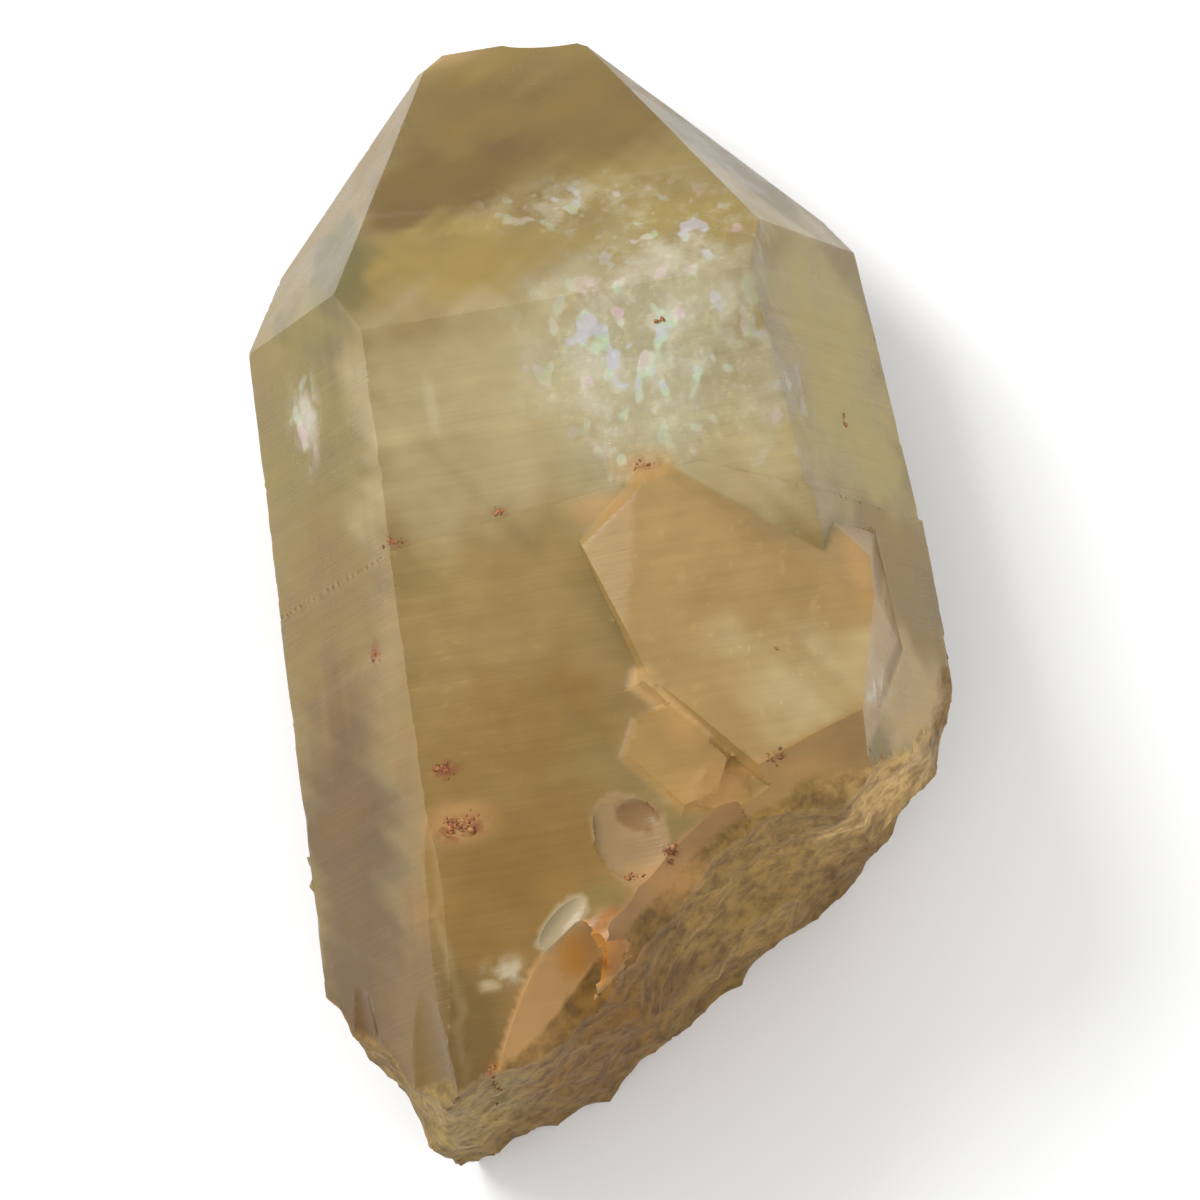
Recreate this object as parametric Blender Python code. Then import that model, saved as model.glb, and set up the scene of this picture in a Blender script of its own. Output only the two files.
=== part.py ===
# Citrine cluster: quartz crystals grown into each other, lying on the big crystal's back face.
# Metres, +Z up. +Y runs along the big crystal's axis towards its point.
# The origin is under the middle of the cluster, on the surface that it lies on.

import math

import bmesh
import bpy
import numpy as np
from mathutils import Matrix, Vector

MM = 0.001

# The big crystal's axis runs along Y through this place. Every shape below is given from there.
AXIS_PLACE = Vector((0.0, -6.2, 14.0)) * MM

# Quartz: a pointed end's faces lean this far from the prism faces below them.
POINT_LEAN = 38.2

# A crystal's faces: degrees round the axis from the top, degrees of lean towards the point,
# and millimetres from the axis place.
BIG_CRYSTAL = {
    "prism top": (0.0, 3.3, 14.5),
    "prism left": (-60.0, 3.1, 19.4),
    "prism right": (60.0, 4.8, 20.1),
    "prism right root": (60.0, 1.0, 19.97),
    "prism lower left": (-120.0, 0.8, 19.5),
    "prism lower right": (120.0, -0.7, 20.25),
    "prism underneath": (180.0, 0.0, 14.0),
    "point top": (0.0, POINT_LEAN, 23.4),
    "point left": (-60.0, POINT_LEAN, 29.4),
    "point right": (60.0, POINT_LEAN, 29.7),
    "point lower left": (-120.0, POINT_LEAN, 34.3),
    "point lower right": (120.0, POINT_LEAN, 33.8),
    "point underneath": (180.0, POINT_LEAN, 33.4),
    "worn root": (0.0, -3.0, 16.3),
}

# A thicker coat of later growth on the root half, which ends in a low ledge round the prism.
GROWTH_COAT = {
    "coat top": (0.0, 3.3, 14.75),
    "coat left": (-60.0, 3.1, 19.6),
    "coat right": (60.0, 1.0, 20.27),
    "coat lower left": (-120.0, 0.5, 19.35),
    "coat lower right": (120.0, -0.7, 20.1),
    "coat underneath": (180.0, 0.0, 12.0),
    "coat worn root": (0.0, -3.0, 16.5),
    "ledge left": (-64.0, 82.0, 7.6),
    "ledge top": (-25.0, 80.0, 9.6),
    "ledge right": (62.0, 64.0, 12.9),
}

# The second crystal stands a little proud of the big one's top face, low on the right.
SECOND_CRYSTAL = {
    "face": (1.5, 5.6, 15.95),
    "face left": (-9.7, 7.9, 15.3),
    "roof left": (-31.7, 33.8, 12.85),
    "roof tip": (0.0, 45.0, 15.6),
    "roof right": (25.6, 29.1, 17.24),
    "shoulder right": (58.7, 36.0, 17.8),
    "side right": (78.0, 2.0, 20.4),
    "side right low": (74.0, -14.0, 21.6),
    "side left": (-76.0, -13.5, 3.9),
    "side left low": (-66.9, -36.4, 8.0),
    "back": (180.0, 0.0, 2.0),
}

# Stubby crystals wedged in at the second one's root: centre, length, width and height in
# millimetres, then turn in plan and tilt in degrees.
SMALL_CRYSTALS = {
    "sliver": ((3.3, -8.9, 14.6), (7.6, 1.9, 3.0), -50.0, 5.0),
    "wedge": ((2.8, -12.6, 13.15), (9.6, 6.2, 5.4), -52.0, -4.0),
    "wedge foot": ((5.0, -15.2, 13.2), (5.6, 4.4, 5.2), -20.0, 6.0),
}

# Round-topped knobs beside them: centre, radii, and turn in plan.
KNOBS = {
    "peach knob": ((-3.8, -23.9, 13.4), (1.9, 2.6, 2.9), -24.0),
    "edge knob": ((-0.4, -20.4, 12.7), (1.5, 2.4, 3.0), -38.0),
    "wedge knob": ((4.9, -13.4, 12.8), (2.4, 1.7, 2.5), -40.0),
}

# Where the cluster broke off: rough planes. Direction in plan, how far each looks up, distance
# from the axis place, and the spacing and depth of the shell-shaped scars that cover it.
BREAKS = {
    "main break": (-57.0, 4.0, 21.5, 6.4, 0.42, 11),
    "root break": (-72.5, 2.0, 26.2, 5.6, 0.36, 17),
    "corner break": (-22.0, 12.0, 23.1, 5.0, 0.36, 23),
    "lower corner break": (-24.0, 0.0, 24.5, 5.0, 0.32, 29),
    "left break": (-147.6, 2.0, 31.0, 5.6, 0.4, 37),
    "left edge break": (-162.0, 4.0, 28.8, 5.2, 0.3, 41),
}

# Wide bowls in the main break: how far down and along its middle is, its reach down and along,
# and its depth.
BREAK_BOWLS = {
    "main break": (
        (-12.0, -8.6, 15.0, 9.8, 2.6),
        (14.0, -13.0, 13.0, 11.0, 0.8),
        (-12.0, -20.2, 11.0, 4.4, 0.9),
    ),
}

# Hollows that flakes left: where the middle of each is, the way it faces, the way it runs,
# and its length, width and depth.
FLAKES = {
    "peach flake": ((-10.1, -29.6, 14.4), (0.50, -0.29, 0.81), (-0.5, -0.86, 0.0), (13.0, 8.0, 0.5)),
    "amber notch": ((-6.0, -24.6, 15.0), (0.10, -0.50, 0.86), (0.3, 0.8, 0.4), (3.8, 2.4, 0.7)),
    "white sliver": ((-6.6, -22.6, 15.4), (-0.35, 0.40, 0.85), (0.77, 0.64, 0.0), (4.0, 1.6, 0.3)),
    "pink band": ((0.9, -20.4, 14.7), (0.42, -0.55, 0.72), (0.70, 0.71, 0.0), (10.0, 5.0, 0.35)),
    "window": ((-0.9, -17.2, 15.4), (-0.12, -0.05, 0.99), (0.3, -0.95, 0.0), (5.4, 4.0, 0.22)),
    "pit": ((-0.7, -15.9, 15.2), (0.0, 0.0, 1.0), (1.0, -0.3, 0.0), (1.8, 1.2, 0.3)),
    "under second": ((11.6, -15.6, 15.3), (0.24, -0.56, 0.79), (0.93, 0.37, 0.0), (20.0, 8.5, 0.6)),
    "left flute": ((-21.2, -29.5, 5.9), (-0.86, 0.02, 0.50), (0.04, -1.0, 0.0), (18.0, 4.4, 0.8)),
    "root flute": ((-17.4, -31.0, 13.0), (-0.78, 0.0, 0.62), (0.06, -1.0, 0.02), (20.0, 6.5, 0.9)),
    "edge flute": ((-15.6, -24.5, 15.0), (-0.5, 0.04, 0.87), (-0.05, -1.0, 0.0), (18.0, 2.8, 0.3)),
    "tip bevel": ((-4.8, 45.8, -6.0), (-0.50, 0.80, 0.33), (0.85, 0.5, 0.1), (7.0, 5.0, 0.35)),
    "tip dip": ((3.6, 45.4, -6.2), (0.10, 0.98, 0.20), (1.0, 0.0, 0.0), (6.0, 3.6, 0.3)),
}

FLAKE_ROUNDNESS = 3.0  # a flake cutter's radius along its depth, in depths

BLOCK = 60.0  # half the side of the block that each crystal is cut from
ROOT_END = 40.0  # no crystal runs further than this from the axis place towards the root
BREAK_SIDE = 32.0  # half the side of a break's cutting block
BREAK_STEPS = 52  # squares along that side
FLAKE_STEPS = (30, 21)  # round and along each flake's cutter
KNOB_STEPS = (20, 12)  # round and along each knob
STONE_COLOUR = (0.43, 0.31, 0.13, 1.0)


def quartz():
    """Pale smoky yellow, glassy and part see-through."""
    material = bpy.data.materials.new("citrine")
    material.use_nodes = True
    shader = material.node_tree.nodes["Principled BSDF"]
    shader.inputs["Base Color"].default_value = STONE_COLOUR
    shader.inputs["Roughness"].default_value = 0.18
    shader.inputs["Metallic"].default_value = 0.0
    shader.inputs["IOR"].default_value = 1.55
    shader.inputs["Transmission Weight"].default_value = 0.6
    return material


def add_helper(name, bm):
    """A guide that other shapes are joined to or cut with. It isn't a piece itself."""
    mesh = bpy.data.meshes.new(name)
    bm.to_mesh(mesh)
    bm.free()
    obj = bpy.data.objects.new(name.replace(" ", "_"), mesh)
    obj.hide_render = True
    obj.display_type = "WIRE"
    bpy.context.scene.collection.objects.link(obj)
    return obj


def face_normal(round_axis, lean):
    """The outward direction of a face that is round_axis degrees from the top, about Y."""
    turn, tip = math.radians(round_axis), math.radians(lean)
    flat = math.cos(tip)
    return Vector((math.sin(turn) * flat, math.sin(tip), math.cos(turn) * flat))


def cut_flat(bm, point, normal):
    """Cuts away what lies beyond a plane, and closes the cut with one flat face."""
    parts = bm.verts[:] + bm.edges[:] + bm.faces[:]
    cut = bmesh.ops.bisect_plane(
        bm, geom=parts, plane_co=point, plane_no=normal, clear_outer=True
    )["geom_cut"]
    rim = [item for item in cut if isinstance(item, bmesh.types.BMEdge)]
    if rim:
        bmesh.ops.contextual_create(bm, geom=rim)


def faceted_crystal(name, faces):
    """A crystal cut face by face from a block, about the big crystal's axis."""
    bm = bmesh.new()
    bmesh.ops.create_cube(bm, size=2 * BLOCK * MM, matrix=Matrix.Translation(AXIS_PLACE))
    for round_axis, lean, distance in faces.values():
        normal = face_normal(round_axis, lean)
        cut_flat(bm, AXIS_PLACE + normal * distance * MM, normal)
    towards_root = Vector((0.0, -1.0, 0.0))
    cut_flat(bm, AXIS_PLACE + towards_root * ROOT_END * MM, towards_root)
    bmesh.ops.recalc_face_normals(bm, faces=bm.faces)
    return add_helper(name, bm)


def place_turned(obj, centre, turn, tilt=0.0):
    """Puts a helper at a place given from the axis, tipped about Y and then turned in plan."""
    obj.matrix_world = (
        Matrix.Translation(AXIS_PLACE + Vector(centre) * MM)
        @ Matrix.Rotation(math.radians(turn), 4, "Z")
        @ Matrix.Rotation(math.radians(tilt), 4, "Y")
    )


def small_crystal(name, centre, size, turn, tilt):
    """A six-sided prism lying along its own X, with a blunt three-faced point at each end."""
    half_length, half_width, half_height = Vector(size) * 0.5 * MM
    bm = bmesh.new()
    bmesh.ops.create_cube(bm, size=2 * BLOCK * MM)
    for side in (-1, 1):
        cut_flat(bm, Vector((0, 0, side * half_height)), Vector((0, 0, side)))
        for slope in (-1, 1):
            wall = Vector((0, side, slope * 0.5)).normalized()
            cut_flat(bm, wall * half_width, wall)
            end = Vector((side, 0.45 * slope, 0.4)).normalized()
            cut_flat(bm, end * 0.82 * half_length, end)
    bmesh.ops.recalc_face_normals(bm, faces=bm.faces)
    obj = add_helper(name, bm)
    place_turned(obj, centre, turn, tilt)
    return obj


def ball(radii, steps):
    """A closed ball of three radii, given in metres, about the origin."""
    bm = bmesh.new()
    round_steps, along_steps = steps
    bmesh.ops.create_uvsphere(
        bm, u_segments=round_steps, v_segments=along_steps, radius=1.0
    )
    bmesh.ops.scale(bm, vec=radii, verts=bm.verts)
    return bm


def knob(name, centre, radii, turn):
    """A knob that stands up from the broken edge."""
    obj = add_helper(name, ball(Vector(radii) * MM, KNOB_STEPS))
    place_turned(obj, centre, turn)
    return obj


def facing_frame(out, runs):
    """A turn whose Z looks along out, and whose X follows runs as nearly as it can."""
    out = out.normalized()
    across = out.cross(runs).normalized()
    return Matrix((across.cross(out), across, out)).transposed().to_4x4()


def flake_scars(across, up, spacing, depth, seed):
    """Height of a broken surface: shallow bowls round scattered centres, meeting in ridges."""
    draw = np.random.default_rng(seed)
    count = int(2 * BREAK_SIDE / spacing) + 1
    row, column = np.meshgrid(np.arange(count), np.arange(count))
    centres = np.stack([row.ravel(), column.ravel()], axis=1) * spacing - BREAK_SIDE
    centres = centres + draw.uniform(-0.42, 0.42, centres.shape) * spacing
    floors = draw.uniform(0.0, 0.8, len(centres)) * depth
    apart = (across[:, None] - centres[:, 0]) ** 2 + (up[:, None] - centres[:, 1]) ** 2
    return (floors + apart * depth / (0.5 * spacing) ** 2).min(axis=1)


def bowl_depth(across, up, bowl):
    """Depth of one round bowl, greatest in its middle and nothing at its rim and beyond."""
    middle_across, middle_up, reach_across, reach_up, depth = bowl
    out = ((across - middle_across) / reach_across) ** 2 + ((up - middle_up) / reach_up) ** 2
    return depth * np.clip(1.0 - out, 0.0, None)


def break_block(name, plan, look_up, distance, spacing, depth, seed):
    """A block whose inner side is a broken surface. What it covers has snapped off."""
    turn, rise = math.radians(plan), math.radians(look_up)
    flat = math.cos(rise)
    out = Vector((math.cos(turn) * flat, math.sin(turn) * flat, math.sin(rise)))
    bm = bmesh.new()
    bmesh.ops.create_grid(
        bm, x_segments=BREAK_STEPS, y_segments=BREAK_STEPS, size=BREAK_SIDE
    )
    flat_places = np.array([vert.co[:2] for vert in bm.verts])
    heights = flake_scars(flat_places[:, 0], flat_places[:, 1], spacing, depth, seed)
    for bowl in BREAK_BOWLS.get(name, ()):
        heights = heights - bowl_depth(flat_places[:, 0], flat_places[:, 1], bowl)
    for vert, height in zip(bm.verts, heights):
        vert.co.z = height
    far = bmesh.ops.extrude_face_region(bm, geom=bm.faces[:])["geom"]
    for item in far:
        if isinstance(item, bmesh.types.BMVert):
            item.co.z = BLOCK
    bmesh.ops.scale(bm, vec=Vector((MM, MM, MM)), verts=bm.verts)
    bmesh.ops.recalc_face_normals(bm, faces=bm.faces)
    obj = add_helper(name, bm)
    obj.matrix_world = Matrix.Translation(AXIS_PLACE + out * distance * MM) @ facing_frame(
        out, Vector((0.0, 0.0, -1.0))
    )
    return obj


def flake_cutter(name, middle, faces, runs, size):
    """An egg shape that leaves a hollow of the given length, width and depth."""
    length, width, depth = size
    reach = math.sqrt(1.0 - (1.0 - 1.0 / FLAKE_ROUNDNESS) ** 2)
    radii = Vector((0.5 * length / reach, 0.5 * width / reach, FLAKE_ROUNDNESS * depth))
    obj = add_helper(name, ball(radii * MM, FLAKE_STEPS))
    out = Vector(faces).normalized()
    centre = AXIS_PLACE + (Vector(middle) + out * (FLAKE_ROUNDNESS - 1.0) * depth) * MM
    obj.matrix_world = Matrix.Translation(centre) @ facing_frame(out, Vector(runs))
    return obj


def boolean(target, operation, tool):
    modifier = target.modifiers.new(tool.name, "BOOLEAN")
    modifier.operation = operation
    modifier.solver = "EXACT"
    modifier.object = tool


def build():
    for old in list(bpy.data.objects):
        bpy.data.objects.remove(old)
    cluster = faceted_crystal("citrine_cluster", BIG_CRYSTAL)
    cluster.hide_render = False
    cluster.display_type = "TEXTURED"
    cluster.data.materials.append(quartz())
    for name, faces in (("growth coat", GROWTH_COAT), ("second crystal", SECOND_CRYSTAL)):
        boolean(cluster, "UNION", faceted_crystal(name, faces))
    for name, sizes in SMALL_CRYSTALS.items():
        boolean(cluster, "UNION", small_crystal(name, *sizes))
    for name, sizes in KNOBS.items():
        boolean(cluster, "UNION", knob(name, *sizes))
    for name, sizes in FLAKES.items():
        boolean(cluster, "DIFFERENCE", flake_cutter(name, *sizes))
    for name, sizes in BREAKS.items():
        boolean(cluster, "DIFFERENCE", break_block(name, *sizes))


build()
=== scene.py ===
# Citrine cluster: the stone's skin, what shows inside it, its stains, and the studio.
# Shapes are worked out in millimetres from the big crystal's axis place, which the solids use
# too: x to the right of the top face, y towards the point, z up. They go into the frame in metres.

import math

import bpy
import numpy as np
from mathutils import Matrix, Vector


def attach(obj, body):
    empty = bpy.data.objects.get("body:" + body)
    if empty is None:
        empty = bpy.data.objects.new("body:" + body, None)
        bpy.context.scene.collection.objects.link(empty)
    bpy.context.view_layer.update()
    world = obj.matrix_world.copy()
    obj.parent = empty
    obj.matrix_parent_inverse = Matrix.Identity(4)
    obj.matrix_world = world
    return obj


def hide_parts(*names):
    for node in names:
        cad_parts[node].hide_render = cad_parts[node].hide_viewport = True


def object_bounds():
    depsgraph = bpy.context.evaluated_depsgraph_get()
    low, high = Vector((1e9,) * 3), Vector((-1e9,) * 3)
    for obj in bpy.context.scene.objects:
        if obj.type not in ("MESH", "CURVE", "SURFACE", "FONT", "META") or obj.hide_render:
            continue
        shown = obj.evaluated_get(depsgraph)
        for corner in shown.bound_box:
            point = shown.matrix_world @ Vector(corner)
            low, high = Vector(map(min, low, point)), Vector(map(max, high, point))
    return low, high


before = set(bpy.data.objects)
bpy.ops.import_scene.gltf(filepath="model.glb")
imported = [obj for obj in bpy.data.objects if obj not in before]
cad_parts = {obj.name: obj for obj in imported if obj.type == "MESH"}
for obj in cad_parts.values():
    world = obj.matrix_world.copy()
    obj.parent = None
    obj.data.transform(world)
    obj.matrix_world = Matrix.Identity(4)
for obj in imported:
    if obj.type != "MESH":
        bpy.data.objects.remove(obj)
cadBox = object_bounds()
print("frame loaded")

metresPerMm = 0.001
axisPlace = np.array([0.0, -6.2, 14.0])  # where the axis place is in the frame
pointLean = 38.2  # quartz: lean of a pointed end's faces from the prism faces

# crystal faces: degrees round the axis from the top, lean towards the point, distance out
bigCrystal = {
    "prism top": (0, 3.3, 14.5),
    "prism left": (-60, 3.1, 19.4),
    "prism right": (60, 4.8, 20.1),
    "prism right root": (60, 1.0, 19.97),
    "prism lower left": (-120, 0.8, 19.5),
    "prism lower right": (120, -0.7, 20.25),
    "prism underneath": (180, 0, 14.0),
    "point top": (0, pointLean, 23.4),
    "point left": (-60, pointLean, 29.4),
    "point right": (60, pointLean, 29.7),
    "point lower left": (-120, pointLean, 34.3),
    "point lower right": (120, pointLean, 33.8),
    "point underneath": (180, pointLean, 33.4),
    "worn root": (0, -3.0, 16.3),
}
growthCoat = {
    "coat top": (0, 3.3, 14.75),
    "coat left": (-60, 3.1, 19.6),
    "coat right": (60, 1.0, 20.27),
    "coat lower left": (-120, 0.5, 19.35),
    "coat lower right": (120, -0.7, 20.1),
    "coat underneath": (180, 0, 12.0),
    "coat worn root": (0, -3.0, 16.5),
    "ledge left": (-64, 82, 7.6),
    "ledge top": (-25, 80, 9.6),
    "ledge right": (62, 64, 12.9),
}
secondCrystal = {
    "face": (1.5, 5.6, 15.95),
    "face left": (-9.7, 7.9, 15.3),
    "roof left": (-31.7, 33.8, 12.85),
    "roof tip": (0, 45.0, 15.6),
    "roof right": (25.6, 29.1, 17.24),
    "shoulder right": (58.7, 36.0, 17.8),
    "side right": (78, 2.0, 20.4),
    "side right low": (74, -14.0, 21.6),
    "side left": (-76, -13.5, 3.9),
    "side left low": (-66.9, -36.4, 8.0),
    "back": (180, 0, 2.0),
}
# growth lines across a face: seed, spacing and depth of the steps
growthLines = {
    "prism top": (3, 1.9, 0.10),
    "prism left": (5, 1.5, 0.12),
    "prism right": (7, 1.3, 0.12),
    "prism right root": (7, 1.3, 0.12),
    "prism lower left": (9, 1.7, 0.12),
    "prism lower right": (13, 1.5, 0.12),
    "point top": (17, 3.4, 0.05),
    "point left": (19, 2.6, 0.05),
    "point right": (23, 2.6, 0.05),
    "point lower left": (27, 2.6, 0.05),
    "point lower right": (29, 2.6, 0.05),
    "coat top": (31, 1.15, 0.11),
    "coat left": (37, 1.6, 0.12),
    "coat right": (41, 0.95, 0.14),
    "coat lower left": (43, 1.5, 0.12),
    "coat lower right": (47, 1.4, 0.12),
    "worn root": (53, 2.2, 0.04),
    "coat worn root": (53, 2.2, 0.04),
    "face": (59, 2.2, 0.07),
    "face left": (61, 2.2, 0.07),
}
# stubby crystals at the second one's root: centre, (length, width, height), turn, tilt
smallCrystals = {
    "sliver": ((3.3, -8.9, 14.6), (7.6, 1.9, 3.0), -50, 5),
    "wedge": ((2.8, -12.6, 13.15), (9.6, 6.2, 5.4), -52, -4),
    "wedge foot": ((5.0, -15.2, 13.2), (5.6, 4.4, 5.2), -20, 6),
}
# round-topped knobs: centre, radii, turn
knobs = {
    "peach knob": ((-3.8, -23.9, 13.4), (1.9, 2.6, 2.9), -24),
    "edge knob": ((-0.4, -20.4, 12.7), (1.5, 2.4, 3.0), -38),
    "wedge knob": ((4.9, -13.4, 12.8), (2.4, 1.7, 2.5), -40),
}
# rough planes: direction in plan, look up, distance, scar spacing, scar depth, seed
breaks = {
    "main break": (-57, 4, 21.5, 6.4, 0.42, 11),
    "root break": (-72.5, 2, 26.2, 5.6, 0.36, 17),
    "corner break": (-22, 12, 23.1, 5.0, 0.36, 23),
    "lower corner break": (-24, 0, 24.5, 5.0, 0.32, 29),
    "left break": (-147.6, 2, 31.0, 5.6, 0.4, 37),
    "left edge break": (-162, 4, 28.8, 5.2, 0.3, 41),
}
# wide bowls in a break: down, along, reach down, reach along, depth
breakBowls = {
    "main break": (
        (-12.0, -8.6, 15.0, 9.8, 2.6),
        (14.0, -13.0, 13.0, 11.0, 0.8),
        (-12.0, -20.2, 11.0, 4.4, 0.9),
    )
}
# hollows that flakes left: middle, way it faces, way it runs, (length, width, depth)
flakes = {
    "peach flake": ((-10.1, -29.6, 14.4), (0.50, -0.29, 0.81), (-0.5, -0.86, 0), (13, 8, 0.5)),
    "amber notch": ((-6.0, -24.6, 15.0), (0.10, -0.50, 0.86), (0.3, 0.8, 0.4), (3.8, 2.4, 0.45)),
    # this sliver's hollow is cut in the shape; the pale colour given to it is a painted highlight on its
    # small facet facing up-left
    "white sliver": ((-6.6, -22.6, 15.4), (-0.35, 0.40, 0.85), (0.77, 0.64, 0), (4, 1.6, 0.3)),
    "pink band": ((0.9, -20.4, 14.7), (0.42, -0.55, 0.72), (0.70, 0.71, 0), (10, 5, 0.35)),
    "window": ((-0.9, -17.2, 15.4), (-0.12, -0.05, 0.99), (0.3, -0.95, 0), (5.4, 4, 0.22)),
    "pit": ((-0.7, -15.9, 15.2), (0, 0, 1), (1, -0.3, 0), (2.2, 1.5, 0.14)),
    "under second": ((11.6, -15.6, 15.3), (0.24, -0.56, 0.79), (0.93, 0.37, 0), (20, 8.5, 0.6)),
    "left flute": ((-21.2, -29.5, 5.9), (-0.86, 0.02, 0.50), (0.04, -1, 0), (18, 4.4, 0.8)),
    "root flute": ((-17.4, -31.0, 13.0), (-0.78, 0, 0.62), (0.06, -1, 0.02), (20, 6.5, 0.9)),
    "edge flute": ((-15.6, -24.5, 15.0), (-0.5, 0.04, 0.87), (-0.05, -1, 0), (18, 2.8, 0.3)),
    "tip bevel": ((-4.8, 45.8, -6.0), (-0.50, 0.80, 0.33), (0.85, 0.5, 0.1), (7, 5, 0.35)),
    "tip dip": ((3.6, 45.4, -6.2), (0.10, 0.98, 0.20), (1, 0, 0), (6, 3.6, 0.3)),
}
stoneShape = {
    "rootEnd": 40.0,
    "breakSide": 32.0,  # half the width of a break's scar pattern
    "fineSpacing": 1.9,  # small scars within the wide ones
    "fineDepth": 0.11,
    "flakeRoundness": 3.0,
    "latticeStep": 0.36,
    "crease": 0.7,  # how far the creases round small crystals and knobs are filled
    "margin": 1.0,
    "latticeShift": 0.0137,  # keeps lattice places off the flat faces
    "centrePull": 0.012,  # how strongly a vertex keeps to the middle of its crossings
    "crispAngle": 24.0,
    "linesEnd": (21.5, 25.0),  # where the prism's fine lines fade at the pointed end
}


def unit(vector):
    return np.array(vector, float) / np.linalg.norm(vector)


def faceNormal(roundAxis, lean):
    # sine and cosine of the angle round y, shortened by the lean towards the point
    turn, tip = np.radians(roundAxis), np.radians(lean)
    return np.array([np.sin(turn) * np.cos(tip), np.sin(tip), np.cos(turn) * np.cos(tip)])


def facingAxes(out, runs):
    # rows: the way it runs made square to out, the way across, and out
    out = unit(out)
    across = unit(np.cross(out, runs))
    return np.stack([np.cross(across, out), across, out])


def growthDepth(points, seed, spacing, depth):
    # terraces square to the axis: each is a random share of the depth down, with short risers
    # between them. Two sine waves bend the lines, and another fades them across the face.
    draw = np.random.default_rng(seed)
    x, y, z = points.T
    stations = np.cumsum(draw.uniform(0.3, 1.7, 140)) * spacing - 52
    levels = draw.uniform(0, 1, 141) * depth
    risers = np.stack([stations - 0.12, stations + 0.12], axis=1).ravel()
    steps = np.stack([levels[:-1], levels[1:]], axis=1).ravel()
    phase = draw.uniform(0, 6.28, 3)
    bent = y + 0.30 * np.sin(0.31 * x + 0.2 * z + phase[0]) + 0.12 * np.sin(0.9 * x + phase[1])
    fade = 0.6 + 0.4 * np.sin(0.27 * x + 0.22 * z + 0.13 * y + phase[2])
    return np.interp(bent, risers, steps) * fade


def facetedField(points, faces):
    # how far a point is past the face plane that it is furthest past; less than 0 inside
    past = np.full(len(points), -1e3)
    for name, (roundAxis, lean, distance) in faces.items():
        plane = points @ faceNormal(roundAxis, lean) - distance
        if name in growthLines:
            near = plane > -1.5
            plane[near] += growthDepth(points[near], *growthLines[name])
        past = np.maximum(past, plane)
    return np.maximum(past, -points[:, 1] - stoneShape["rootEnd"])


def smallCrystalField(points, centre, size, turn, tilt):
    # a lying prism: two caps, four walls and four slanting end faces, in its own turned frame
    place = Matrix.Rotation(math.radians(turn), 3, "Z") @ Matrix.Rotation(math.radians(tilt), 3, "Y")
    local = (points - centre) @ np.array(place)
    halfLength, halfWidth, halfHeight = np.array(size) * 0.5
    past = np.abs(local[:, 2]) - halfHeight
    for side in (-1, 1):
        for slope in (-1, 1):
            past = np.maximum(past, local @ unit((0, side, slope * 0.5)) - halfWidth)
            past = np.maximum(past, local @ unit((side, 0.45 * slope, 0.4)) - 0.82 * halfLength)
    return past


def eggField(local, radii):
    # distance past an egg's surface, from its scaled radius and that radius's slope
    scaled = np.linalg.norm(local / radii, axis=1) + 1e-9
    slope = np.linalg.norm(local / np.square(radii), axis=1) + 1e-9
    return scaled * (scaled - 1) / slope


def knobField(points, centre, radii, turn):
    # an egg turned in plan
    place = np.array(Matrix.Rotation(math.radians(turn), 3, "Z"))
    return eggField((points - centre) @ place, np.array(radii))


def flakeField(points, middle, faces, runs, size):
    # an egg whose cap below the surface has the hollow's length, width and depth
    length, width, depth = size
    roundness = stoneShape["flakeRoundness"]
    reach = math.sqrt(1 - (1 - 1 / roundness) ** 2)
    radii = np.array([0.5 * length / reach, 0.5 * width / reach, roundness * depth])
    centre = np.array(middle) + unit(faces) * (roundness - 1) * depth
    return eggField((points - centre) @ facingAxes(faces, runs).T, radii)


def scarHeight(down, along, spacing, depth, seed):
    # shallow bowls round jittered grid places, meeting in ridges: the lowest of each place's
    # floor plus its distance squared, over the nine places round a point
    draw = np.random.default_rng(seed)
    side = stoneShape["breakSide"]
    count = int(2 * side / spacing) + 1
    row, column = np.meshgrid(np.arange(count), np.arange(count))
    centres = np.stack([row.ravel(), column.ravel()], axis=1) * spacing - side
    centres = centres + draw.uniform(-0.42, 0.42, centres.shape) * spacing
    floors = draw.uniform(0, 0.8, len(centres)) * depth
    nearRow = np.rint((down + side) / spacing).astype(int)
    nearColumn = np.rint((along + side) / spacing).astype(int)
    height = np.full(len(down), 1e3)
    for stepRow in (-1, 0, 1):
        for stepColumn in (-1, 0, 1):
            r = np.clip(nearRow + stepRow, 0, count - 1)
            c = np.clip(nearColumn + stepColumn, 0, count - 1)
            spot = c * count + r
            apart = (down - centres[spot, 0]) ** 2 + (along - centres[spot, 1]) ** 2
            height = np.minimum(height, floors[spot] + apart * depth / (0.5 * spacing) ** 2)
    return height


def breakField(points, name):
    # how far a point is past a broken surface: its height over the plane, less the scars' height,
    # plus the depth of the wide bowls
    plan, lookUp, distance, spacing, depth, seed = breaks[name]
    turn, rise = math.radians(plan), math.radians(lookUp)
    out = np.array([math.cos(turn) * math.cos(rise), math.sin(turn) * math.cos(rise), math.sin(rise)])
    down, along, height = ((points - out * distance) @ facingAxes(out, (0, 0, -1)).T).T
    near = np.abs(height) < 4.5
    scars = scarHeight(down[near], along[near], spacing, depth, seed)
    scars += scarHeight(
        down[near], along[near], stoneShape["fineSpacing"], stoneShape["fineDepth"], seed + 1
    ) - 0.5 * stoneShape["fineDepth"]
    height[near] -= scars
    for midDown, midAlong, reachDown, reachAlong, bowl in breakBowls.get(name, ()):
        spread = ((down - midDown) / reachDown) ** 2 + ((along - midAlong) / reachAlong) ** 2
        height += bowl * np.clip(1 - spread, 0, None)
    return height


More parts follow.
